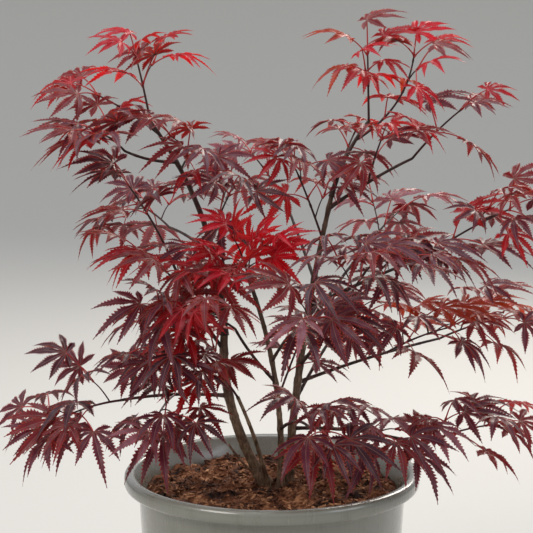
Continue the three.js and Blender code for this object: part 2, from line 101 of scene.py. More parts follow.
def add_node(material, kind, inputs=None, **settings):
    """Adds a node with its settings. An input that is given a socket is linked to it."""
    made = material.node_tree.nodes.new(kind)
    for name, value in settings.items():
        setattr(made, name, value)
    for name, value in (inputs or {}).items():
        if isinstance(value, bpy.types.NodeSocket):
            material.node_tree.links.new(value, made.inputs[name])
        else:
            made.inputs[name].default_value = value
    return made


def bare_material(name):
    """A material with nothing in it yet."""
    material = bpy.data.materials.new(name)
    material.use_nodes = True
    material.node_tree.nodes.clear()
    return material


def add_piece(name, points, faces, material, smooth=True):
    """A mesh object of those points and faces, in metres."""
    mesh = bpy.data.meshes.new(name)
    mesh.from_pydata(points, [], faces)
    mesh.materials.append(material)
    mesh.polygons.foreach_set("use_smooth", [smooth] * len(mesh.polygons))
    mesh.update()
    piece = bpy.data.objects.new(name, mesh)
    bpy.context.collection.objects.link(piece)
    return piece


def turned(profile, sides):
    """The points and faces of a profile of (radius, height) pairs turned about +Z. Where
    the profile starts or ends on the axis it closes there."""
    points, faces, rings = [], [], []
    for radius, height in profile:
        if radius == 0:
            rings.append([len(points)] * sides)
            points.append((0, 0, height))
            continue
        rings.append(range(len(points), len(points) + sides))
        for i in range(sides):
            turn = 2 * math.pi * i / sides
            points.append((radius * math.cos(turn), radius * math.sin(turn), height))
    for low, high in zip(rings, rings[1:]):
        for i in range(sides):
            k = (i + 1) % sides
            corners = dict.fromkeys((low[i], low[k], high[k], high[i]))
            if len(corners) > 2:
                faces.append(tuple(corners))
    return points, faces


# Matt paper scatters light evenly and has no gloss.
matt_paper = bare_material("matt paper")
paper_skin = add_node(
    matt_paper,
    "ShaderNodeBsdfPrincipled",
    {"Base Color": linear(PAPER), "Roughness": 0.95, "Specular IOR Level": 0.1},
)
add_node(matt_paper, "ShaderNodeOutputMaterial", {"Surface": paper_skin.outputs[0]})
sweep = [(0, 0), (FLOOR_RADIUS / 2, 0)]
for step in range(SWEEP_STEPS + 1):
    turn = math.pi / 2 * step / SWEEP_STEPS
    out = FLOOR_RADIUS + (WALL_RADIUS - FLOOR_RADIUS) * math.sin(turn)
    sweep.append((out, WALL_HEIGHT * (1 - math.cos(turn))))
floor = add_piece("floor", *turned(sweep, FLOOR_SIDES), matt_paper)

for name, (place, width, power, colour) in LAMPS.items():
    light = bpy.data.lights.new(name, "AREA")
    light.shape, light.size, light.energy = "DISK", width, power
    light.color = linear(colour)[:3]
    stand = bpy.data.objects.new(name, light)
    stand.location = place
    stand.rotation_euler = (LAMP_AIM - stand.location).to_track_quat("-Z", "Y").to_euler()
    bpy.context.collection.objects.link(stand)
world = bpy.data.worlds.new("sky")
world.use_nodes = True
sky = world.node_tree.nodes["Background"].inputs
sky["Color"].default_value = linear(SKY)
sky["Strength"].default_value = SKY_STRENGTH
bpy.context.scene.world = world
bpy.context.scene.view_settings.view_transform = "Standard"

# The pot. It is a tapered round tub of moulded polypropylene, satin and sage grey, with a
# thick rolled bead round its rim. It comes out of the mould in one piece.
RIM_RADIUS = 160 * MM
RIM_INNER = 147.5 * MM
POT_HEIGHT = 270 * MM
BEAD_FOOT = 254 * MM
FOOT_RADIUS = 130 * MM
FOOT_EDGE = 4 * MM
SHOULDER_RADIUS = 144.5 * MM
WALL = 5 * MM
POT_FLOOR = 6 * MM
POT_SIDES = 160
FOOT_STEPS = 5
WALL_RINGS = (0.15, 0.3, 0.45, 0.6, 0.75, 0.9, 0.97, 0.99)
INNER_RINGS = (1.0, 0.75, 0.5, 0.25, 0.0)
BEAD_STEPS = 14
BEAD_STARTS = -math.pi * 0.42
BEAD_SWEEP = math.pi * 1.32
BEAD_BLUNT = 0.72
POT_GREY = "#6c6c62"
POT_PALE = "#808178"
POT_STAIN = "#5c5946"
STREAK_WIDTH, STREAK_STRETCH = 18 * MM, 0.12
CLOUD_SIZE = 70 * MM
MOULD_GRAIN, MOULD_GRAIN_DEPTH = 1.4 * MM, 0.3 * MM


def pot_inside(height):
    """The radius of the pot's inner wall at a height."""
    taper = (SHOULDER_RADIUS - FOOT_RADIUS) / BEAD_FOOT
    return FOOT_RADIUS + taper * height - WALL


def pot_profile():
    """The pot's outline from the middle of its underside, round the bead to its floor."""
    outline = [(0, 0), (FOOT_RADIUS - FOOT_EDGE, 0)]
    for step in range(1, FOOT_STEPS + 1):
        turn = math.pi / 2 * step / FOOT_STEPS
        radius = FOOT_RADIUS - FOOT_EDGE * (1 - math.sin(turn))
        outline.append((radius, FOOT_EDGE * (1 - math.cos(turn))))
    rise = BEAD_FOOT - FOOT_EDGE
    for share in WALL_RINGS:
        radius = FOOT_RADIUS + (SHOULDER_RADIUS - FOOT_RADIUS) * share
        outline.append((radius, FOOT_EDGE + rise * share))
    middle = (RIM_RADIUS + RIM_INNER) / 2, (POT_HEIGHT + BEAD_FOOT) / 2
    half = (RIM_RADIUS - RIM_INNER) / 2, (POT_HEIGHT - BEAD_FOOT) / 2
    for step in range(BEAD_STEPS + 1):
        turn = BEAD_STARTS + BEAD_SWEEP * step / BEAD_STEPS
        side, up = math.cos(turn), math.sin(turn)
        radius = middle[0] + half[0] * math.copysign(abs(side) ** BEAD_BLUNT, side)
        height = middle[1] + half[1] * math.copysign(abs(up) ** BEAD_BLUNT, up)
        outline.append((radius, height))
    for share in INNER_RINGS:
        height = POT_FLOOR + (BEAD_FOOT - POT_FLOOR) * share
        outline.append((pot_inside(height), height))
    outline.append((0, POT_FLOOR))
    return outline


def satin_pot_plastic(name):
    """Moulded plastic with a satin face: soft, broad highlights, a faint unevenness from
    the mould, and a film of dust and water marks, mostly in streaks down the wall. The
    grain of the mould is drawn coarser than it is, so that it shows."""
    material = bare_material(name)
    spot = add_node(material, "ShaderNodeTexCoord").outputs["Object"]
    down_wall = add_node(
        material, "ShaderNodeMapping", {"Vector": spot, "Scale": (1, 1, STREAK_STRETCH)}
    ).outputs[0]
    streaks = add_node(
        material,
        "ShaderNodeTexNoise",
        {"Vector": down_wall, "Scale": 1 / STREAK_WIDTH, "Detail": 5, "Roughness": 0.6},
    ).outputs["Fac"]
    clouds = add_node(
        material, "ShaderNodeTexNoise", {"Vector": spot, "Scale": 1 / CLOUD_SIZE, "Detail": 3}
    ).outputs["Fac"]
    grain = add_node(
        material, "ShaderNodeTexNoise", {"Vector": spot, "Scale": 1 / MOULD_GRAIN, "Detail": 2}
    ).outputs["Fac"]
    clean = add_node(
        material,
        "ShaderNodeMix",
        {0: clouds, 6: linear(POT_GREY), 7: linear(POT_PALE)},
        data_type="RGBA",
    ).outputs[2]
    marks = add_node(
        material,
        "ShaderNodeMapRange",
        {"Value": streaks, "From Min": 0.5, "From Max": 0.85, "To Max": 0.55},
    ).outputs[0]
    stained = add_node(
        material,
        "ShaderNodeMix",
        {0: marks, 6: clean, 7: linear(POT_STAIN)},
        data_type="RGBA",
    ).outputs[2]
    dulled = add_node(
        material, "ShaderNodeMapRange", {"Value": streaks, "To Min": 0.12, "To Max": 0.4}
    ).outputs[0]
    relief = add_node(
        material,
        "ShaderNodeBump",
        {"Height": grain, "Strength": 0.08, "Distance": MOULD_GRAIN_DEPTH},
    ).outputs[0]
    skin = add_node(
        material,
        "ShaderNodeBsdfPrincipled",
        {
            "Base Color": stained,
            "Roughness": dulled,
            "IOR": 1.49,
            "Coat Weight": 0.7,
            "Coat Roughness": 0.14,
            "Normal": relief,
        },
    )
    add_node(material, "ShaderNodeOutputMaterial", {"Surface": skin.outputs[0]})
    return material


satin_polypropylene = satin_pot_plastic("satin polypropylene")
pot = add_piece("pot_shell", *turned(pot_profile(), POT_SIDES), satin_polypropylene)
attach(pot, "root")
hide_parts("pot")

# The compost. It is shredded bark and wood fibre, filled in loose by hand, so that its top
# is lumpy, lies a little higher at the stems, and leaves a shallow ditch along the wall.
SOIL_LEVEL = 250 * MM
SOIL_RINGS = 64
SOIL_SIDES = 220
SOIL_GAP = 0.3 * MM
LUMP_SIZE, LUMP_HEIGHT = 34 * MM, 7.0 * MM
CLOD_SIZE, CLOD_HEIGHT = 13 * MM, 5.5 * MM
BIT_SIZE, BIT_HEIGHT = 4 * MM, 2.0 * MM
CLOD_LAYER, BIT_LAYER = 3 * MM, 9 * MM
MOUND_HEIGHT, MOUND_REACH = 3.0 * MM, 0.3
DITCH_DEPTH, DITCH_POWER = 4.0 * MM, 6
CALM_MIDDLE, CALM_ENDS = 0.25, 4
PATCH_SIZE = 22 * MM
SHRED_SIZE, SHRED_DEPTH = 3.2 * MM, 1.2 * MM
BARK_BROWN = "#74482f"
BARK_DARK = "#1f0f09"
BARK_PALE = "#bb8a64"


def soil_height(x, y):
    """The height of the compost's surface at a place."""
    far = math.hypot(x, y) / pot_inside(SOIL_LEVEL)
    lumps = noise.noise(Vector((x, y, 0)) / LUMP_SIZE) * LUMP_HEIGHT
    clods = noise.noise(Vector((x, y, CLOD_LAYER)) / CLOD_SIZE) * CLOD_HEIGHT
    bits = abs(noise.noise(Vector((x, y, BIT_LAYER)) / BIT_SIZE)) * BIT_HEIGHT
    mound = MOUND_HEIGHT * math.exp(-((far / MOUND_REACH) ** 2))
    ditch = -DITCH_DEPTH * far**DITCH_POWER
    rough = (lumps + clods + bits) * min(1, far * CALM_ENDS + CALM_MIDDLE)
    return SOIL_LEVEL + rough + mound + ditch


soil_foot = POT_FLOOR + SOIL_GAP
soil_profile = [(0, soil_foot), (pot_inside(POT_FLOOR) - SOIL_GAP, soil_foot)]
for ring in range(SOIL_RINGS):
    reach = (pot_inside(SOIL_LEVEL) - SOIL_GAP) * (1 - ring / SOIL_RINGS)
    soil_profile.append((reach, SOIL_LEVEL))
soil_profile.append((0, SOIL_LEVEL))
soil_points, soil_faces = turned(soil_profile, SOIL_SIDES)
soil_points = [
    (x, y, soil_height(x, y) if z == SOIL_LEVEL else z) for x, y, z in soil_points
]


def set_stops(ramp, low, middle, high):
    """Sets the three stops of a colour ramp, each a position and a colour."""
    ends = ramp.color_ramp.elements
    for end, (position, colour) in zip(ends, (low, high)):
        end.position, end.color = position, linear(colour)
    ends.new(middle[0]).color = linear(middle[1])


def bark_compost(name, shift):
    """Damp shredded bark: rough and dull, with dark damp patches and paler dry ones that lie
    at random. Its damp and dry patches are about 20 mm across and its shreds 3 mm."""
    material = bare_material(name)
    spot = add_node(material, "ShaderNodeTexCoord").outputs["Object"]
    patches = add_node(
        material,
        "ShaderNodeTexNoise",
        {"Vector": spot, "Scale": 1 / PATCH_SIZE, "Detail": 8, "Roughness": 0.75},
    ).outputs["Fac"]
    ramp = add_node(material, "ShaderNodeValToRGB", {"Fac": patches})
    set_stops(
        ramp, (0.4 + shift, BARK_DARK), (0.52 + shift, BARK_BROWN), (0.7 + shift, BARK_PALE)
    )
    shreds = add_node(
        material, "ShaderNodeTexVoronoi", {"Vector": spot, "Scale": 1 / SHRED_SIZE}
    ).outputs["Distance"]
    relief = add_node(
        material,
        "ShaderNodeBump",
        {"Height": shreds, "Strength": 0.7, "Distance": SHRED_DEPTH},
    ).outputs[0]
    skin = add_node(
        material,
        "ShaderNodeBsdfPrincipled",
        {
            "Base Color": ramp.outputs["Color"],
            "Roughness": 0.9,
            "Specular IOR Level": 0.25,
            "Normal": relief,
        },
    )
    add_node(material, "ShaderNodeOutputMaterial", {"Surface": skin.outputs[0]})
    return material


damp_bark_compost = bark_compost("damp bark compost", 0.0)
soil = add_piece("compost_bed", soil_points, soil_faces, damp_bark_compost)
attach(soil, "root")
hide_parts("soil")

# The crumbs on top of the compost. They are split slivers and crumbs of bark, 2 to 10 mm
# long, that lie as they fell, half sunk in the finer stuff.
CRUMBS = 4200
CRUMB_SEED = 4021
CRUMB_LENGTH, CRUMB_FINENESS = (2.0, 8.0), 3
CRUMB_WIDTH = (0.22, 0.3)
CRUMB_THICKNESS = (0.14, 0.16)
CRUMB_TILT = 0.35
CRUMB_ROLL = 0.5
CRUMB_CORNER = 0.35
CRUMB_ENDS_VARY, CRUMB_SIDES_VARY, CRUMB_TOPS_VARY = 0.12, 0.18, 0.15
CRUMB_WALL_GAP = 5 * MM
CRUMB_STANDS = 0.12
DARK_CRUMBS = 0.72
# How far each kind of crumb moves the stops of the bark's colours.
CRUMB_SHIFTS = {"dark": 0.02, "dry": -0.14}
MODULUS = 2147483647
MULTIPLIER = 16807
WARM_UP = 4
seed = 1


def draw():
    """The next number from 0 to 1 of a seeded row."""
    global seed
    seed = (seed * MULTIPLIER) % MODULUS
    return seed / MODULUS


def vary(most):
    """The next number of the row, between minus most and most."""
    return (draw() * 2 - 1) * most


def ring_faces(rings, sides):
    """The faces between each ring of points and the next."""
    faces = []
    for low in range(0, rings * sides, sides):
        for i in range(sides):
            k = (i + 1) % sides
            faces.append((low + i, low + k, low + sides + k, low + sides + i))
    return faces


def join(points, faces, more_points, more_faces):
    """Adds one closed form's points and faces to those of a joined mesh."""
    start = len(points)
    points += more_points
    faces += [tuple(start + i for i in face) for face in more_faces]


def sliver(middle, length):
    """The points and faces of one split crumb of bark that lies at a place."""
    heading = Vector((vary(1), vary(1), vary(CRUMB_TILT))).normalized()
    upright = Vector((vary(CRUMB_ROLL), vary(CRUMB_ROLL), 1))
    across = heading.cross(upright).normalized()
    up = across.cross(heading)
    wide = length * (CRUMB_WIDTH[0] + CRUMB_WIDTH[1] * draw())
    thick = length * (CRUMB_THICKNESS[0] + CRUMB_THICKNESS[1] * draw())
    points = []
    for along in (-0.5, 0.5):
        for side, high in ((-1, -1), (1, -1), (1, 1), (-1, 1)):
            spot = middle + heading * length * (along + vary(CRUMB_ENDS_VARY))
            spot += across * side * wide * (CRUMB_CORNER + vary(CRUMB_SIDES_VARY))
            spot += up * high * thick * (CRUMB_CORNER + vary(CRUMB_TOPS_VARY))
            points.append(spot)
    return points, [(3, 2, 1, 0), (4, 5, 6, 7)] + ring_faces(1, 4)


seed = CRUMB_SEED
crumbs = {kind: ([], []) for kind in CRUMB_SHIFTS}
for _ in range(CRUMBS):
    far = math.sqrt(draw()) * (pot_inside(SOIL_LEVEL) - CRUMB_WALL_GAP)
    turn = draw() * 2 * math.pi
    x, y = far * math.cos(turn), far * math.sin(turn)
    length = (CRUMB_LENGTH[0] + CRUMB_LENGTH[1] * draw() ** CRUMB_FINENESS) * MM
    kind = "dark" if draw() < DARK_CRUMBS else "dry"
    middle = Vector((x, y, soil_height(x, y) + CRUMB_STANDS * length))
    join(*crumbs[kind], *sliver(middle, length))
for kind, shift in CRUMB_SHIFTS.items():
    material = bark_compost(kind + " bark crumb", shift)
    piece = add_piece("bark_crumbs_" + kind, *crumbs[kind], material, smooth=False)
    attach(piece, "root")

# The stems and boughs. They are living wood under thin smooth bark, brown with grey ridges
# at the foot of the clump and dark red-brown on the younger boughs. All grow from one root:
# stems flare out at the compost, and each bough grows out of its stem with a small collar.

# Each limb has the limb that it is on and at what share of it, or else a foot on the
# compost, then its tip, the bow of its middle, and its radii at both ends, in millimetres.
LIMBS = {
    "stem_left": (None, (-6, 6), (-51, 0, 418), (-14, 0, 0), (5.8, 4.2)),
    "stem_right": (None, (17, 5), (63, 0, 567), (-6, 6, 0), (4.9, 2.4)),
    "stem_centre": (None, (9, -8), (-25, -60, 491), (12, 14, 0), (3.6, 2)),
    "stem_front": (None, (-3, -13), (-36, -44, 360), (3, 3, 0), (2.4, 1.8)),
    "dead_shoot": ("stem_left", 0.04, (-46, -18, 302), (-2, 0, -2), (1.4, 1.2)),
    "leader_left": ("stem_left", 1, (-128, 0, 647), (18, 6, 4), (4, 1.9)),
    "leader_right": ("stem_right", 1, (102, 0, 647), (-4, 3, 2), (2.5, 1.7)),
    "bough_left_low": ("stem_left", 0.6, (-159, -50, 358), (0, 0, 4), (2.2, 1.4)),
    "bough_left_middle": ("leader_left", 0.08, (-111, -50, 446), (0, 0, 8), (1.9, 1.4)),
    "bough_left_upper": ("stem_left", 0.9, (-112, -20, 517), (-4, -4, 0), (2, 1.4)),
    "bough_left_high": ("leader_left", 0.8, (-153, -30, 618), (0, -4, -3), (1.8, 1.4)),
    "bough_centre_left": ("stem_centre", 0.5, (-38, -66, 437), (-4, -2, 2), (1.7, 1.4)),
    "bough_front_low": ("stem_centre", 0.28, (39, -92, 338), (2, 0, 8), (1.8, 1.4)),
    "bough_front": ("stem_centre", 0.6, (26, -122, 446), (2, 0, 8), (1.7, 1.4)),
    "bough_front_right": ("stem_right", 0.42, (74, -118, 474), (6, 0, 6), (2, 1.4)),
    "bough_right_low": ("stem_right", 0.2, (160, -42, 308), (0, 0, 6), (2, 1.4)),
    "bough_right_middle": ("stem_right", 0.62, (162, -10, 504), (2, 0, 3), (2.2, 1.4)),
    "bough_right_high": ("stem_right", 0.96, (148, -4, 608), (2, 0, 4), (2, 1.4)),
    "bough_right_back": ("stem_right", 0.36, (189, 80, 399), (0, 0, 3), (2, 1.4)),
    "bough_back_low_left": ("stem_left", 0.72, (-84, 118, 394), (0, 4, 6), (2, 1.4)),
    "bough_back_low_right": ("stem_right", 0.3, (84, 128, 412), (2, 4, 6), (2, 1.4)),
    "bough_back_left": ("leader_left", 0.34, (-116, 118, 520), (0, 4, 4), (2, 1.4)),
    "bough_back_right": ("stem_right", 0.54, (112, 126, 500), (2, 4, 6), (2, 1.4)),
    "bough_back_high": ("stem_right", 0.72, (16, 92, 552), (0, 6, 0), (1.9, 1.4)),
}
# How much each stem flares out at the compost, in millimetres.
FLARES = {"stem_left": 3.4, "stem_right": 3, "stem_centre": 2, "stem_front": 1.4}
LIMB_RING, FEWEST_RINGS = 2.4 * MM, 8
STEM_SIDES = 22
BOUGH_SIDES = 14
FLARE_HEIGHT = 14 * MM
BUTTRESSES = 3
FLARE_LOBES = 0.3
COLLAR = 7 * MM
COLLAR_SWELLS = 0.35
FORK_SWELLS = 0.3
FORK_REACH = 2.2
NODE_GAP = 34 * MM
NODE_RING = 1.6 * MM
NODE_SWELLS = 0.13
RIDGE_LENGTH, RIDGES_AROUND = 26 * MM, 2
GRAIN_LENGTH, GRAIN_AROUND = 7 * MM, 5
STEM_RELIEF = (0.07, 0.025)
BOUGH_RELIEF = (0.04, 0.015)
BARK_STRETCH = 0.14
CRACK_SIZE, CRACK_DEPTH = 1.5 * MM, 0.5 * MM
BARK_PATCH = 13 * MM
PALE_BARK_TOP = 330 * MM
DARK_BARK_FROM = 460 * MM
DARK_BARK = "#2b1a18"
DARK_BARK_SHARE = 0.75
ARC_MARKS = 200
STEEP = 0.8
BLUNT_END = 0.5
UP = Vector((0, 0, 1))
BACK = Vector((0, 1, 0))


class Arc:
    """An arc between two points, whose middle stands off the straight line by the bow."""

    def __init__(self, start, end, bow):
        self.start, self.end = start, end
        self.pull = (start + end) / 2 + bow * 2
        marks = [self.at(i / ARC_MARKS) for i in range(ARC_MARKS + 1)]
        self.length = sum((b - a).length for a, b in zip(marks, marks[1:]))

    def at(self, share):
        """The point at a share of the way."""
        rest = 1 - share
        return self.start * rest**2 + self.pull * 2 * rest * share + self.end * share**2

    def heading(self, share):
        """The way that the arc runs at a share of it."""
        way = (self.pull - self.start) * (1 - share) + (self.end - self.pull) * share
        return way.normalized()


def between(ends, share):
    """The number that lies a share of the way from the first end to the second."""
    return ends[0] + (ends[1] - ends[0]) * share


def limb_arc(name):
    """The middle line of a limb, from the limb that it is on or from the compost."""
    on, at, tip, bow, _ = LIMBS[name]
    if on:
        start = limb_arc(on).at(at)
    else:
        start = Vector((at[0] * MM, at[1] * MM, SOIL_LEVEL))
    return Arc(start, Vector(tip) * MM, Vector(bow) * MM)


def tube(curve, rings, sides, radius_at, stand_off=lambda spot, turn: 0.0):
    """The points and faces of a closed bar along a curve. Its radius follows radius_at
    along it, and stand_off adds relief for a place and a turn about the curve."""
    points = []
    chord = curve.at(1) - curve.at(0)
    aside = BACK if abs(chord.z) > STEEP * chord.length else UP
    for ring in range(rings + 1):
        share = ring / rings
        middle, heading, radius = curve.at(share), curve.heading(share), radius_at(share)
        across = heading.cross(aside).normalized()
        over = across.cross(heading)
        for i in range(sides):
            turn = 2 * math.pi * i / sides
            out = across * math.cos(turn) + over * math.sin(turn)
            spot = middle + out * radius
            points.append(spot + out * stand_off(spot, turn) * radius)
    faces = ring_faces(rings, sides)
    last, ends = rings * sides, len(points)
    points += [curve.at(0), curve.at(1) + curve.heading(1) * radius_at(1) * BLUNT_END]
    for i in range(sides):
        k = (i + 1) % sides
        faces += [(k, i, ends), (last + i, last + k, ends + 1)]
    return points, faces


def bark_relief(curve, name):
    """Bark that stands off by shallow ridges along a limb, wider lobes at a stem's foot,
    and a ring at each old pair of buds."""
    ridges, grain = STEM_RELIEF if name in FLARES else BOUGH_RELIEF
    phase = sum(map(ord, name))

    def rough(turn, around, along):
        spot = Vector((math.cos(turn) * around, math.sin(turn) * around, along + phase))
        return noise.noise(spot)

    def stand_off(spot, turn):
        height = (spot - curve.start).length
        off = ridges * rough(turn, RIDGES_AROUND, height / RIDGE_LENGTH)
        off += grain * rough(turn, GRAIN_AROUND, height / GRAIN_LENGTH)
        beyond = (height % NODE_GAP - NODE_GAP / 2) / NODE_RING
        off += NODE_SWELLS * math.exp(-(beyond**2))
        if name in FLARES:
            lobes = math.cos(BUTTRESSES * turn + phase)
            off += FLARE_LOBES * lobes * math.exp(-height / FLARE_HEIGHT)
        return off

    return stand_off


def limb_radius(curve, name):
    """A limb's radius along it, with its taper, its flare at the compost, the collar where
    it grows out of its stem, and a swelling where a bough leaves it."""
    radii = LIMBS[name][-1]
    forks = [
        (at, ends[0] * MM) for on, at, _, _, ends in LIMBS.values() if on == name and at < 1
    ]

    def radius_at(share):
        height = share * curve.length
        radius = between(radii, share) * MM
        radius += FLARES.get(name, 0) * MM * math.exp(-height / FLARE_HEIGHT)
        if name not in FLARES:
            radius *= 1 + COLLAR_SWELLS * math.exp(-height / COLLAR)
        for at, child in forks:
            beyond = (share - at) * curve.length / (FORK_REACH * child)
            radius += FORK_SWELLS * child * math.exp(-(beyond**2))
        return radius

    return radius_at


def maple_bark(name, dark, middle, pale, roughness):
    """Thin maple bark: fine cracks and grain that run along the limb, with a dull sheen on
    the ridges. Older bark is browner and rougher, and young bark redder and smoother. It
    is weathered paler at the foot of the clump and darkens on the way up."""
    material = bare_material(name)
    spot = add_node(material, "ShaderNodeTexCoord").outputs["Object"]
    along = add_node(
        material, "ShaderNodeMapping", {"Vector": spot, "Scale": (1, 1, BARK_STRETCH)}
    ).outputs[0]
    cracks = add_node(
        material,
        "ShaderNodeTexNoise",
        {"Vector": along, "Scale": 1 / CRACK_SIZE, "Detail": 6, "Roughness": 0.68},
    ).outputs["Fac"]
    patches = add_node(
        material, "ShaderNodeTexNoise", {"Vector": spot, "Scale": 1 / BARK_PATCH, "Detail": 4}
    ).outputs["Fac"]
    both = add_node(
        material, "ShaderNodeMath", {0: cracks, 1: patches}, operation="ADD"
    ).outputs[0]
    share = add_node(material, "ShaderNodeMapRange", {"Value": both, "From Max": 2}).outputs[0]
    ramp = add_node(material, "ShaderNodeValToRGB", {"Fac": share})
    set_stops(ramp, (0.4, dark), (0.5, middle), (0.62, pale))
    height = add_node(material, "ShaderNodeSeparateXYZ", {0: spot}).outputs["Z"]
    span = {"From Min": PALE_BARK_TOP, "From Max": DARK_BARK_FROM, "To Max": DARK_BARK_SHARE}
    aged = add_node(material, "ShaderNodeMapRange", {"Value": height} | span).outputs[0]
    colour = add_node(
        material,
        "ShaderNodeMix",
        {0: aged, 6: ramp.outputs["Color"], 7: linear(DARK_BARK)},
        data_type="RGBA",
    ).outputs[2]
    relief = add_node(
        material,
        "ShaderNodeBump",
        {"Height": cracks, "Strength": 0.5, "Distance": CRACK_DEPTH},
    ).outputs[0]
    skin = add_node(
        material,
        "ShaderNodeBsdfPrincipled",
        {
            "Base Color": colour,
            "Roughness": roughness,
            "Specular IOR Level": 0.3,
            "Normal": relief,
        },
    )
    add_node(material, "ShaderNodeOutputMaterial", {"Surface": skin.outputs[0]})
    return material


ridged_stem_bark = maple_bark("ridged stem bark", "#493729", "#755f4a", "#a48d73", 0.52)
dry_dead_bark = maple_bark("dry dead bark", "#5b4536", "#846853", "#a98f76", 0.7)
smooth_bough_bark = maple_bark("smooth bough bark", "#291917", "#46302b", "#735a50", 0.5)

for name in LIMBS:
    curve = limb_arc(name)
    is_stem = name in FLARES
    points, faces = tube(
        curve,
        max(FEWEST_RINGS, round(curve.length / LIMB_RING)),
        STEM_SIDES if is_stem else BOUGH_SIDES,
        limb_radius(curve, name),
        bark_relief(curve, name),
    )
    bark = ridged_stem_bark if is_stem else smooth_bough_bark
    if name == "dead_shoot":
        bark = dry_dead_bark
    piece = add_piece(name + "_bark", points, faces, bark)
    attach(piece, "root")
    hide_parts(name)

# The twigs. Each spray grows one main twig on from its limb, with pairs of buds at even
# nodes, each pair turned from the one before. Side twigs leave from the middle nodes, and
# short fine shoots between the nodes. They are this year's wood, red-brown and smooth.

# Each spray has the limb that it grows on and at what share of it, the end of its main
# twig, the kind of its tints, the length of its leaves, the number of its fine shoots and
# how far its leaves are lifted, in millimetres and degrees.
SPRAYS = {
    "spray_top_left": ("leader_left", 1, (-143, 0, 717), "flame", 48, 1, 0),
    "spray_crown_left": ("leader_left", 0.93, (-184, 8, 674), "burgundy", 58, 0, 0),
    "spray_high_left": ("bough_left_high", 1, (-176, -42, 636), "burgundy", 56, 2, 0),
    "spray_inner_left": ("leader_left", 0.76, (-82, -34, 616), "burgundy", 50, 1, -6),
    "spray_shoulder_left": ("bough_left_upper", 1, (-150, -34, 584), "purple", 52, 0, 0),
    "spray_breast_left": ("leader_left", 0.42, (-44, -46, 574), "purple", 50, 1, 0),
    "spray_crimson": ("stem_centre", 1, (-30, -90, 514), "scarlet", 46, 6, 26),
    "spray_waist_left": ("bough_left_middle", 1, (-120, -96, 424), "purple", 56, 2, 10),
    "spray_waist_inner": ("bough_left_middle", 0.5, (-108, -84, 500), "burgundy", 56, 3, 0),
    "spray_low_left": ("bough_left_low", 1, (-220, -76, 344), "purple", 56, 3, 14),
    "spray_low_inner_left": ("bough_left_low", 0.5, (-118, -92, 350), "purple", 54, 2, 10),
    "spray_front_left": ("stem_front", 1, (-64, -88, 404), "crimson", 50, 1, 0),
    "spray_centre_left": ("bough_centre_left", 1, (-82, -106, 466), "crimson", 54, 2, 0),
    "spray_heart": ("stem_centre", 0.42, (42, 35, 430), "purple", 50, 1, 0),
    "spray_front_low": ("bough_front_low", 1, (50, -130, 344), "purple", 58, 1, 8),
    "spray_front": ("bough_front", 1, (44, -158, 464), "purple", 62, 1, 0),
    "spray_front_right": ("bough_front_right", 1, (100, -140, 518), "purple", 54, 2, 0),
    "spray_right_middle": ("bough_right_middle", 1, (250, -18, 556), "burgundy", 54, 1, 4),
    "spray_right_inner": ("bough_right_middle", 0.55, (138, -70, 520), "purple", 58, 2, 0),
    "spray_right_high": ("bough_right_high", 1, (200, -2, 660), "burgundy", 48, 0, 0),
    "spray_right_shoulder": ("bough_right_high", 0.45, (112, -52, 632), "burgundy", 50, 0, 0),
    "spray_top_right": ("leader_right", 1, (100, -2, 718), "flame", 48, 1, 0),
    "spray_crown_right": ("leader_right", 0.72, (149, 4, 716), "flame", 50, 0, 0),
    "spray_centre_high": ("stem_right", 0.86, (22, -12, 604), "burgundy", 52, 2, 0),
    # The mauve kind deals out leaves of the paler mauve tint, a painted sky reflection.
    "spray_back_high": ("bough_back_high", 1, (-24, 142, 604), "sheen_mauve", 46, 0, 0),
    "spray_back_crown": ("leader_right", 0.3, (94, 74, 636), "burgundy", 48, 0, 0),
    "spray_right_back": ("bough_right_back", 1, (262, 88, 420), "rust", 52, 2, 10),
    "spray_right_waist": ("bough_right_back", 0.62, (190, -8, 428), "rust", 52, 2, 8),
    "spray_right_low": ("bough_right_low", 1, (226, -54, 332), "burgundy", 50, 2, 8),
    # Its kind deals out some leaves of the paler mauve tint, a painted sky reflection.
    "spray_right_low_inner": ("bough_right_low", 0.5, (116, -92, 330), "partly_sheen_mauve", 56, 2, 0),
    "spray_back_low_left": ("bough_back_low_left", 1, (-120, 194, 400), "purple", 56, 2, 0),
    "spray_back_low_right": ("bough_back_low_right", 1, (118, 204, 408), "burgundy", 56, 2, 0),
    "spray_back_left": ("bough_back_left", 1, (-158, 182, 540), "purple", 56, 2, 0),
    # The mauve kind deals out leaves of the paler mauve tint, a painted sky reflection.
    "spray_back_right": ("bough_back_right", 1, (152, 198, 530), "sheen_mauve", 56, 2, 0),
}
TWIG_BOW = Vector((0, 0, 3)) * MM
USUAL_SPRAY = dict(facing=1, stalk=1, bow=TWIG_BOW)
ODD_SPRAYS = {
    "spray_crimson": dict(facing=2.6, stalk=0.55),
    "spray_crown_right": dict(bow=Vector((12, 0, -6)) * MM),
}
SPRAY_STRIDE = 1009
BUD_STRIDE = 37
TRY_STRIDE = 7
TWIG_BUDS = 20
NODE_SPACING = 36 * MM
SIDE_TWIG_LENGTH = 36 * MM
PAIR_OFFSET = 1.2 * MM
PAIR_TURN = 90
FIRST_TURN = 20
TURN_VARIES = 30
STALK_OPEN = 52
STALK_OPEN_VARIES = 12
UPRIGHT_SHARE = 0.6
STALK_VARIES = 0.25
NEARLY_UPRIGHT = 0.2
FOOT_LEAF = 1.1
TIP_LEAF = 0.85
LAST_LEAF = 0.8
SIDE_TWIG_LEAF = 0.9
FINE_SHOOT = 30 * MM
FINE_LEAF = 0.82
FINE_LEAF_VARIES = 0.1
FINE_LAST_LEAF = 0.95
FINE_FIRST, FINE_SLIDES = 0.55, 0.12
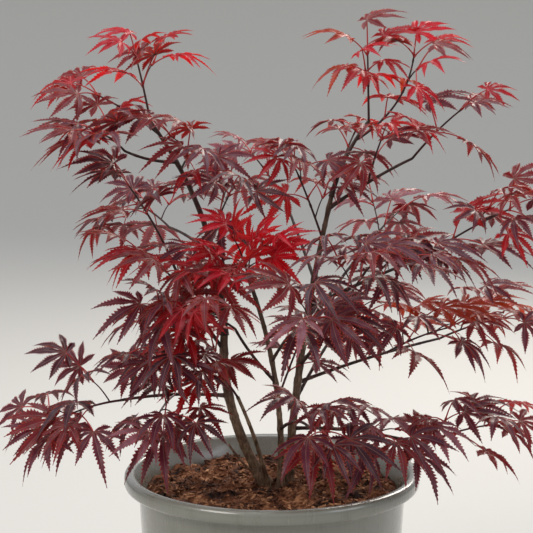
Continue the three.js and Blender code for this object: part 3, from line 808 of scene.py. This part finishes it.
FINE_FIRST_TURN, FINE_TURN, FINE_TURN_VARIES = 70, 140, 40
FINE_ONWARD, FINE_ASIDE, FINE_UPWARD = 0.62, 0.8, 0.12
FINE_PAIR_AT = 0.82
FINE_PAIR_ROLL = 0.5
MAIN_TWIG_RADII = (1.35 * MM, 0.85 * MM)
SIDE_TWIG_RADII = (1.0 * MM, 0.7 * MM)
FINE_TWIG_RADII = (0.8 * MM, 0.6 * MM)
TWIG_SIDES = 7
TWIG_RING, FEWEST_TWIG_RINGS = 3 * MM, 6
TWIG_NODE_AT, TWIG_NODE_RING, TWIG_NODE_SWELLS = 0.97, 1.3 * MM, 0.4


def sow(spray, bud, attempt):
    """Starts the row of numbers that belongs to one try at one bud of one spray."""
    global seed
    seed = 1 + SPRAY_STRIDE * spray + BUD_STRIDE * bud + TRY_STRIDE * attempt
    for _ in range(WARM_UP):
        draw()


def sideways(heading):
    """The level way across a heading, and the way that stands up from both."""
    across = heading.cross(UP)
    if across.length < NEARLY_UPRIGHT:
        across = Vector((1, 0, 0))
    across.normalize()
    return across, across.cross(heading)


def grow_twig(curve, leaf_length, is_main):
    """Grows one twig and its side twig, each with its own buds."""
    nodes = max(2 if is_main else 1, math.floor(curve.length / NODE_SPACING + 0.5))
    side_node = math.ceil(nodes / 2) if is_main and nodes > 2 else 0
    radii = MAIN_TWIG_RADII if is_main else SIDE_TWIG_RADII
    twig = dict(curve=curve, radii=radii, buds=[])
    grown = [twig]
    for node in range(1, nodes + 1):
        share = node / nodes
        start, heading = curve.at(share), curve.heading(share)
        across, over = sideways(heading)
        turn = math.radians((node % 2) * PAIR_TURN + FIRST_TURN + vary(TURN_VARIES))
        for side in (-1, 1):
            opening = math.radians(STALK_OPEN + vary(STALK_OPEN_VARIES))
            aside = across * math.cos(turn) * side
            aside += over * math.sin(turn) * side * UPRIGHT_SHARE
            aside.normalize()
            way = heading * math.cos(opening) + aside * math.sin(opening)
            if node == side_node and side == 1:
                end = start + way * SIDE_TWIG_LENGTH * (1 + vary(STALK_VARIES))
                side_curve = Arc(start, end, TWIG_BOW)
                grown += grow_twig(side_curve, leaf_length * SIDE_TWIG_LEAF, False)
            else:
                length = leaf_length * between((FOOT_LEAF, TIP_LEAF), share)
                spot = start + heading * (side - 1) * PAIR_OFFSET
                twig["buds"].append(dict(start=spot, way=way, length=length))
    last = curve.heading(1)
    tip = curve.at(1) - last * PAIR_OFFSET
    twig["buds"].append(dict(start=tip, way=last, length=leaf_length * LAST_LEAF))
    return grown


def fine_shoots(curve, leaf_length, count):
    """Short shoots between a main twig's nodes, each with a pair of leaves and a last one."""
    shoots = []
    for n in range(count):
        share = (n + FINE_FIRST + vary(FINE_SLIDES)) / count
        start, heading = curve.at(share), curve.heading(share)
        across, over = sideways(heading)
        turn = math.radians(FINE_TURN * n + FINE_FIRST_TURN + vary(FINE_TURN_VARIES))
        aside = across * math.cos(turn) + over * math.sin(turn) * UPRIGHT_SHARE
        way = heading * FINE_ONWARD + aside.normalized() * FINE_ASIDE + UP * FINE_UPWARD
        way.normalize()
        end = start + way * FINE_SHOOT * (1 + vary(STALK_VARIES))
        shoot = Arc(start, end, TWIG_BOW)
        buds = []
        for side in (-1, 1):
            opening = math.radians(STALK_OPEN + vary(STALK_OPEN_VARIES))
            out = way.cross(UP).normalized() * side + over * vary(FINE_PAIR_ROLL)
            leaf_way = way * math.cos(opening) + out.normalized() * math.sin(opening)
            length = leaf_length * FINE_LEAF * (1 + vary(FINE_LEAF_VARIES))
            buds.append(dict(start=shoot.at(FINE_PAIR_AT), way=leaf_way, length=length))
        length = leaf_length * FINE_LEAF * FINE_LAST_LEAF
        buds.append(dict(start=end, way=way, length=length))
        shoots.append(dict(curve=shoot, radii=FINE_TWIG_RADII, buds=buds))
    return shoots


sprays = {}
for order, (name, row) in enumerate(SPRAYS.items()):
    on, at, end, tint, leaf_length, shoots, lift = row
    spray = USUAL_SPRAY | ODD_SPRAYS.get(name, {}) | dict(order=order, tint=tint, lift=lift)
    curve = Arc(limb_arc(on).at(at), Vector(end) * MM, spray["bow"])
    sow(order, 0, 0)
    spray["twigs"] = grow_twig(curve, leaf_length * MM, True)
    sow(order, TWIG_BUDS * 3, 0)
    spray["twigs"] += fine_shoots(curve, leaf_length * MM, shoots)
    sprays[name] = spray


def twig_radius(radii, length):
    """A twig's radius along it, with a small ring at each of its nodes."""

    def radius_at(share):
        past = share * length % NODE_SPACING - NODE_SPACING * TWIG_NODE_AT
        swelling = TWIG_NODE_SWELLS * math.exp(-((past / TWIG_NODE_RING) ** 2))
        return between(radii, share) * (1 + swelling)

    return radius_at


twig_points, twig_faces = [], []
for spray in sprays.values():
    for twig in spray["twigs"]:
        curve = twig["curve"]
        rings = max(FEWEST_TWIG_RINGS, round(curve.length / TWIG_RING))
        radius_at = twig_radius(twig["radii"], curve.length)
        join(twig_points, twig_faces, *tube(curve, rings, TWIG_SIDES, radius_at))

young_shoot_bark = maple_bark("young shoot bark", "#2a0f14", "#4a1a20", "#7a3a38", 0.42)
twigs = add_piece("twigs", twig_points, twig_faces, young_shoot_bark)
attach(twigs, "root")

# The leaf stalks. Each is a thin, springy stalk, bright red all its length, that leaves its
# bud with a small swollen foot and bends over to the leaf that hangs from its end.
STALK = 30 * MM
STALK_RADII = (0.85 * MM, 0.6 * MM)
STALK_SIDES, STALK_RINGS = 6, 8
STALK_BOW = 0.08
STALK_FOOT, STALK_FOOT_SWELLS = 1.5 * MM, 0.7
STALK_MARKS = 12 * MM
STALK_DARK, STALK_LIGHT = "#8a1520", "#c03a34"
STALK_RISE = 0.5
LEAF_VARIES = 0.12
CROWN_TOP = 740 * MM
CROWN_DEPTH = 440 * MM
LEAF_DROOP = (2, 16)
LEAF_DROOP_VARIES = 16
LEAF_OUTWARD = 0.55
LEAF_SWING = 24
FACE_OUTWARD = (0.2, 0.35)
FACE_TO_LIGHT = (0.1, 0.5)
LIGHT_SIDE = Vector((0, -1, 0))
FACE_ROLL = 30
LEAF_ROOM = 19 * MM
LEAF_MIDDLE = 0.4
OUTER_LOBES = (-32, 0, 32)
TIP_FALLS = 0.5
SPRAY_REACH, REACH_MARKS = 120 * MM, 8
TRIES = 14


def open_bud(bud, spray):
    """Opens one bud: where its stalk ends and its leaf starts, which way the leaf points
    and faces, and its length. The lower a leaf is, the more it hangs, and the more it
    faces outward and to the side that the light comes from."""
    reach = STALK * spray["stalk"] * (1 + vary(STALK_VARIES))
    root = bud["start"] + bud["way"] * reach
    outward = Vector((root.x, root.y, 0)).normalized()
    low = min(1, max(0, (CROWN_TOP - root.z) / CROWN_DEPTH))
    droop = math.radians(between(LEAF_DROOP, low) - spray["lift"] + vary(LEAF_DROOP_VARIES))
    axis = (Vector((bud["way"].x, bud["way"].y, 0)) + outward * LEAF_OUTWARD).normalized()
    axis.rotate(Matrix.Rotation(math.radians(vary(LEAF_SWING)), 3, UP))
    axis = axis * math.cos(droop) + UP * (STALK_RISE * bud["way"].z - math.sin(droop))
    axis.normalize()
    face = UP + outward * between(FACE_OUTWARD, low) * spray["facing"]
    face += LIGHT_SIDE * between(FACE_TO_LIGHT, low)
    face = (face - axis * face.dot(axis)).normalized()
    face.rotate(Matrix.Rotation(math.radians(vary(FACE_ROLL)), 3, axis))
    length = bud["length"] * (1 + vary(LEAF_VARIES))
    return dict(start=bud["start"], root=root, axis=axis, face=face, length=length)


def stays_near(curve, leaf):
    """Whether the tips of a leaf's outer lobes keep within its spray's own space."""
    across = leaf["axis"].cross(leaf["face"])
    marks = [curve.at(i / REACH_MARKS) for i in range(REACH_MARKS + 1)]
    for lobe in OUTER_LOBES:
        turn = math.radians(lobe)
        way = leaf["axis"] * math.cos(turn) + across * math.sin(turn)
        tip = leaf["root"] + (way - leaf["face"] * TIP_FALLS) * leaf["length"]
        if any(tip[i] < cad_box[0][i] or tip[i] > cad_box[1][i] for i in range(3)):
            return False
        if min((mark - tip).length for mark in marks) > SPRAY_REACH:
            return False
    return True


leaves = []
middles = []
for name, spray in sprays.items():
    own_curve = spray["twigs"][0]["curve"]
    for order, twig in enumerate(spray["twigs"]):
        for n, bud in enumerate(twig["buds"]):
            for attempt in range(TRIES):
                sow(spray["order"], TWIG_BUDS * order + n + 1, attempt)
                leaf = open_bud(bud, spray)
                middle = leaf["root"] + leaf["axis"] * leaf["length"] * LEAF_MIDDLE
                crowded = any((middle - other).length < LEAF_ROOM for other in middles)
                if not crowded and stays_near(own_curve, leaf):
                    leaf["spray"], leaf["pick"] = name, draw()
                    leaves.append(leaf)
                    middles.append(middle)
                    break

stalk_points, stalk_faces = [], []
for leaf in leaves:
    reach = (leaf["root"] - leaf["start"]).length
    bend = Arc(leaf["start"], leaf["root"], UP * reach * STALK_BOW)

    def stalk_radius(share):
        swelling = STALK_FOOT_SWELLS * math.exp(-share * reach / STALK_FOOT)
        return between(STALK_RADII, share) * (1 + swelling)

    join(stalk_points, stalk_faces, *tube(bend, STALK_RINGS, STALK_SIDES, stalk_radius))

# Red living stalk: smooth and waxy, with soft highlights, a little uneven along its length.
waxy_red_stalk = bare_material("waxy red stalk")
stalk_spot = add_node(waxy_red_stalk, "ShaderNodeTexCoord").outputs["Object"]
stalk_marks = add_node(
    waxy_red_stalk,
    "ShaderNodeTexNoise",
    {"Vector": stalk_spot, "Scale": 1 / STALK_MARKS, "Detail": 2},
).outputs["Fac"]
stalk_red = add_node(
    waxy_red_stalk,
    "ShaderNodeMix",
    {0: stalk_marks, 6: linear(STALK_DARK), 7: linear(STALK_LIGHT)},
    data_type="RGBA",
).outputs[2]
stalk_skin = add_node(
    waxy_red_stalk,
    "ShaderNodeBsdfPrincipled",
    {"Base Color": stalk_red, "Roughness": 0.38, "IOR": 1.45},
)
add_node(waxy_red_stalk, "ShaderNodeOutputMaterial", {"Surface": stalk_skin.outputs[0]})
stalks = add_piece("leaf_stalks", stalk_points, stalk_faces, waxy_red_stalk)
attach(stalks, "root")

# The leaves. Each is a thin hand of seven narrow lobes that grows on its stalk, cut nearly
# to the middle, toothed with a thin red margin, folded along their ribs and fine at the tip.
# The red of that margin on the dark leaves is painted glow, standing for light that shines
# through the thin edge. They range from dark purple in the shade to crimson when young, and
# the pale mauve of some leaves at the back is a painted sky reflection.

# Each lobe, from the middle one outwards, has its angle, its reach and its rows of teeth.
LOBES = ((0, 1.0, 28), (32, 0.94, 26), (69, 0.74, 22), (116, 0.42, 14))
LOBE_TURN_VARIES = 4
LOBE_REACH_VARIES = 0.07
LOBE_WIDTH = 0.09
LOBE_WIDTH_VARIES = 0.12
SHORT_LOBE_WIDTH = 0.72
OUTER_HALF_ANGLE = 24
NOTCH = 0.165
FUSED_ROWS = 2
LOBE_DROOP = 0.25
TIP_DROOP = 0.27
TIP_DROOP_VARIES = 0.9
SICKLE = 0.16
FOLD = 0.38
TOOTH = 0.4
TOOTH_LEAN = 0.92
VALLEY = -0.45
FIRST_TEETH = 4
ROW_CROWDING = 0.92
NOTCH_BLEND = 0.24
RIPPLE = 0.012
RIPPLE_PITCH, RIPPLE_PHASES = 21, 6
PUCKER = 0.007
MARGIN_STARTS = 0.84
RIB_RADIUS = 0.0085
RIB_ROWS = 10
RIB_ENDS = 0.93
RIB_TAPER = 0.8
RIB_ABOVE = 0.1 * MM
OUTLINE_AT = (0.0, 0.24, 0.42, 0.62, 0.79, 0.91, 1.0)
OUTLINE_WIDTH = (0.5, 0.94, 1.0, 0.76, 0.42, 0.17, 0.0)


def fused_half(lobes, n, side):
    """Half the angle between a lobe and its neighbour on one side, in radians."""
    k = n + side
    if 0 <= k < len(lobes):
        return abs(lobes[k]["angle"] - lobes[n]["angle"]) / 2
    return math.radians(OUTER_HALF_ANGLE)


def leaf_lobes():
    """The seven lobes of one leaf, from its left to its right, each a little different."""
    lobes = []
    for n in (-3, -2, -1, 0, 1, 2, 3):
        aside, reach, rows = LOBES[abs(n)]
        angle = math.radians(math.copysign(aside, n) + vary(LOBE_TURN_VARIES))
        slim = between((SHORT_LOBE_WIDTH, 1), reach)
        lobes.append(
            dict(
                angle=angle,
                reach=reach * (1 + vary(LOBE_REACH_VARIES)),
                rows=rows,
                droop=TIP_DROOP * (1 + vary(TIP_DROOP_VARIES)),
                sickle=vary(SICKLE) + SICKLE * 0.5 * math.copysign(1, n) * (n != 0),
                wide=LOBE_WIDTH * (1 + vary(LOBE_WIDTH_VARIES)) * slim,
                phase=draw() * RIPPLE_PHASES,
            )
        )
    return lobes


def lobe_spots(lobe, along, off, length):
    """Spots on a lobe in the leaf's own frame, from how far along its rib and off it they
    are, both as shares of the leaf's length. The rib swings like a sickle past the notch,
    the blade droops towards the tip, and it folds up on both sides of the rib."""
    past = np.maximum(0, along - NOTCH)
    sideways = off + lobe["sickle"] * past**2
    x = -np.sin(lobe["angle"]) * along + np.cos(lobe["angle"]) * sideways
    y = np.cos(lobe["angle"]) * along + np.sin(lobe["angle"]) * sideways
    far = np.hypot(x, y)
    z = -LOBE_DROOP * far**2 - lobe["droop"] * past**2 / (1 - NOTCH)
    ripple = RIPPLE * np.sin(along * RIPPLE_PITCH + lobe["phase"]) / LOBE_WIDTH
    z = z + (FOLD + ripple) * np.abs(off)
    return np.stack([x, y, z], axis=-1) * length


def half_lobe(lobe, half_angle, side, length):
    """One side of a lobe: the strip of blade beside its rib, and its toothed margin."""
    reach = lobe["reach"]
    fused = np.linspace(0, NOTCH, FUSED_ROWS + 1)[:-1]
    free_share = np.linspace(0, 1, lobe["rows"] + 1) ** ROW_CROWDING
    free = NOTCH + (reach - NOTCH) * free_share
    shape = np.interp(free_share, OUTLINE_AT, OUTLINE_WIDTH) * lobe["wide"]
    blend = np.clip(free_share / NOTCH_BLEND, 0, 1)
    wide = NOTCH * math.tan(half_angle) * (1 - blend) + shape * blend
    teeth = np.where(np.arange(len(free)) % 2 == 1, 1.0, VALLEY)
    teeth[0] = teeth[-1] = 0
    edge_wide = wide * (1 + np.minimum(1, FIRST_TEETH * free_share) * TOOTH * teeth)
    step = (reach - NOTCH) / lobe["rows"]
    lean = np.where(teeth > 0, TOOTH_LEAN * step, 0)
    rib_along = np.concatenate([fused, free])
    base = np.concatenate([fused * math.tan(half_angle), wide])
    edge = np.concatenate([fused * math.tan(half_angle), edge_wide])
    forward = np.concatenate([np.zeros(len(fused)), lean])
    rib = lobe_spots(lobe, rib_along, 0 * base, length)
    fold_along = rib_along + forward * MARGIN_STARTS
    fold = lobe_spots(lobe, fold_along, side * edge * MARGIN_STARTS, length)
    rim = lobe_spots(lobe, rib_along + forward, side * edge, length)
    pucker = np.where(np.arange(len(rib_along)) % 2 == 0, PUCKER, -PUCKER) * length
    fold[:, 2] += pucker * np.clip(base / LOBE_WIDTH, 0, 1)
    return band(rib, fold, side), band(fold, rim, side)


def band(inner, outer, side):
    """The points and faces of the strip between two rows of spots."""
    points = np.stack([inner, outer], axis=1).reshape(-1, 3)
    faces = []
    for a in range(0, len(points) - 2, 2):
        faces.append((a, a + 1, a + 3, a + 2) if side < 0 else (a, a + 2, a + 3, a + 1))
    return points, faces


def rib_bar(lobe, length):
    """The points and faces of the thin rib that runs down a lobe and stands off it."""
    along = np.linspace(0, lobe["reach"] * RIB_ENDS, RIB_ROWS)
    thick = RIB_RADIUS * (1 - RIB_TAPER * along / lobe["reach"])
    middle = lobe_spots(lobe, along, 0 * along, length)
    aside = np.array([math.cos(lobe["angle"]), math.sin(lobe["angle"]), 0])
    left = middle - aside * thick[:, None] * length
    right = middle + aside * thick[:, None] * length
    under = middle.copy()
    left[:, 2] += RIB_ABOVE + thick * FOLD * length
    right[:, 2] += RIB_ABOVE + thick * FOLD * length
    under[:, 2] -= thick * 2 * length
    points = np.stack([left, right, under], axis=1).reshape(-1, 3)
    last = len(points) - 3
    ends = [(2, 1, 0)], [(last, last + 1, last + 2)]
    return points, ends[0] + ring_faces(RIB_ROWS - 1, 3) + ends[1]


def grow_leaf(leaf, blade, margin, ribs):
    """Adds a leaf's blade, its toothed margin and its ribs to those of a joined mesh."""
    across = leaf["axis"].cross(leaf["face"])
    turn = np.array([across, leaf["axis"], leaf["face"]])
    place = np.array(leaf["root"])
    lobes = leaf_lobes()
    for n, lobe in enumerate(lobes):
        for side in (-1, 1):
            half = fused_half(lobes, n, -side)
            strips = half_lobe(lobe, half, side, leaf["length"])
            for mesh, (points, faces) in zip((blade, margin), strips):
                join(*mesh, list(points @ turn + place), faces)
        points, faces = rib_bar(lobe, leaf["length"])
        join(*ribs, list(points @ turn + place), faces)


# Each tint has its dark and light colours, the colour that glows through it from behind,
# the share of that glow, and its slot. Each kind of spray deals out tints to its leaves.
TINTS = {
    "wine": ("#2a1220", "#452531", "#8c1418", 0.15, "leaves_purple"),
    "purple": ("#381527", "#592c3b", "#a81a1c", 0.18, "leaves_purple"),
    # This paler mauve tint is a painted sky reflection on leaves at the back, not their own
    # colour.
    "sheen_mauve": ("#5f3848", "#93606a", "#b4484a", 0.24, "leaves_purple"),
    "burgundy": ("#47111e", "#6e242b", "#c4201a", 0.28, "leaves_burgundy"),
    "crimson": ("#6e0e1e", "#9c1c24", "#e02018", 0.42, "leaves_crimson"),
    "scarlet": ("#8a0820", "#b6122a", "#f01818", 0.44, "leaves_scarlet"),
    "ember": ("#6a1f1a", "#9a3e28", "#dc4a1c", 0.38, "leaves_crimson"),
    # The margin tint is painted glow: the orange-red of light shining through the thin edges
    # of the dark leaves.
    "margin": ("#72221a", "#a04226", "#dc3a1c", 0.32, "leaves_crimson"),
}
DARK_TINTS = ("wine", "purple", "sheen_mauve", "burgundy")
DEALT = {
    # The next two kinds deal out the mauve tint's painted sky reflection, the second to fewer
    # leaves.
    "sheen_mauve": dict(sheen_mauve=0.8, purple=0.92, burgundy=1),
    "partly_sheen_mauve": dict(sheen_mauve=0.4, purple=0.8, burgundy=1),
    "purple": dict(wine=0.4, purple=0.84, sheen_mauve=0.91, burgundy=1),
    "rust": dict(purple=0.2, burgundy=0.6, ember=1),
    "burgundy": dict(purple=0.35, burgundy=0.82, crimson=1),
    "crimson": dict(purple=0.12, burgundy=0.58, crimson=1),
    "flame": dict(purple=0.06, burgundy=0.22, crimson=0.5, scarlet=0.88, ember=1),
    "scarlet": dict(crimson=0.36, scarlet=1),
}
BLOTCH_SIZE = 16 * MM
VEIN_GAP, VEIN_DEPTH = 2.2 * MM, 0.25 * MM
LEAF_ROUGHNESS = 0.38
BLOOM = "#b8aca8"


def waxy_leaf(name, dark, light, glow, glow_share):
    """A living leaf: a satin, waxy skin with a faint pale bloom, a little uneven in colour
    between its veins, and thin enough that light glows through it redder."""
    material = bare_material(name)
    spot = add_node(material, "ShaderNodeTexCoord").outputs["Object"]
    uneven = add_node(
        material,
        "ShaderNodeTexNoise",
        {"Vector": spot, "Scale": 1 / BLOTCH_SIZE, "Detail": 4, "Roughness": 0.6},
    ).outputs["Fac"]
    spread = add_node(
        material, "ShaderNodeMapRange", {"Value": uneven, "From Min": 0.32, "From Max": 0.68}
    ).outputs[0]
    colour = add_node(
        material,
        "ShaderNodeMix",
        {0: spread, 6: linear(dark), 7: linear(light)},
        data_type="RGBA",
    ).outputs[2]
    veins = add_node(
        material,
        "ShaderNodeTexVoronoi",
        {"Vector": spot, "Scale": 1 / VEIN_GAP},
        feature="DISTANCE_TO_EDGE",
    ).outputs["Distance"]
    relief = add_node(
        material,
        "ShaderNodeBump",
        {"Height": veins, "Strength": 0.25, "Distance": VEIN_DEPTH},
    ).outputs[0]
    skin = add_node(
        material,
        "ShaderNodeBsdfPrincipled",
        {
            "Base Color": colour,
            "Roughness": LEAF_ROUGHNESS,
            "IOR": 1.45,
            "Specular IOR Level": 0.36,
            "Sheen Weight": 0.06,
            "Sheen Roughness": 0.45,
            "Sheen Tint": linear(BLOOM),
            "Normal": relief,
        },
    )
    through = add_node(material, "ShaderNodeBsdfTranslucent", {"Color": linear(glow)})
    both = add_node(
        material,
        "ShaderNodeMixShader",
        {0: glow_share, 1: skin.outputs[0], 2: through.outputs[0]},
    )
    add_node(material, "ShaderNodeOutputMaterial", {"Surface": both.outputs[0]})
    return material


blades = {tint: ([], []) for tint in TINTS}
ribs = {"tan": ([], []), "red": ([], [])}
for number, leaf in enumerate(leaves):
    kind = sprays[leaf["spray"]]["tint"]
    tint = next(tint for tint, share in DEALT[kind].items() if leaf["pick"] <= share)
    sow(len(SPRAYS) + 1, number, 0)
    # Dark leaves take their margins in the margin tint, whose orange-red is painted glow of
    # light through the thin edge.
    is_dark = tint in DARK_TINTS
    margin = blades["margin"] if is_dark else blades[tint]
    grow_leaf(leaf, blades[tint], margin, ribs["tan" if is_dark else "red"])

STANDS_FOR = {"sheen_mauve": ("sheen_mauve", "partly_sheen_mauve"), "crimson": ("crimson", "flame"), "ember": ("rust",)}
for tint, (points, faces) in blades.items():
    *colours, slot = TINTS[tint]
    material = waxy_leaf("waxy leaf " + tint, *colours)
    piece = add_piece("leaves_" + tint, points, faces, material)
    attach(piece, "root")
    kinds = STANDS_FOR.get(tint, (tint,))
    stood_for = [name for name, spray in sprays.items() if spray["tint"] in kinds]
    if stood_for:
        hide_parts(*stood_for)

# The ribs of the leaves. Each lobe has one firm rib that grows down its middle with the
# blade and stands off it on both sides. It is paler than the blade and slightly glossy.
for name, colour in (("tan", "#80524b"), ("red", "#c04048")):
    firm_leaf_rib = bare_material("firm leaf rib " + name)
    rib_skin = add_node(
        firm_leaf_rib,
        "ShaderNodeBsdfPrincipled",
        {"Base Color": linear(colour), "Roughness": 0.4, "IOR": 1.45},
    )
    add_node(firm_leaf_rib, "ShaderNodeOutputMaterial", {"Surface": rib_skin.outputs[0]})
    leaf_ribs = add_piece("leaf_ribs_" + name, *ribs[name], firm_leaf_rib)
    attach(leaf_ribs, "root")
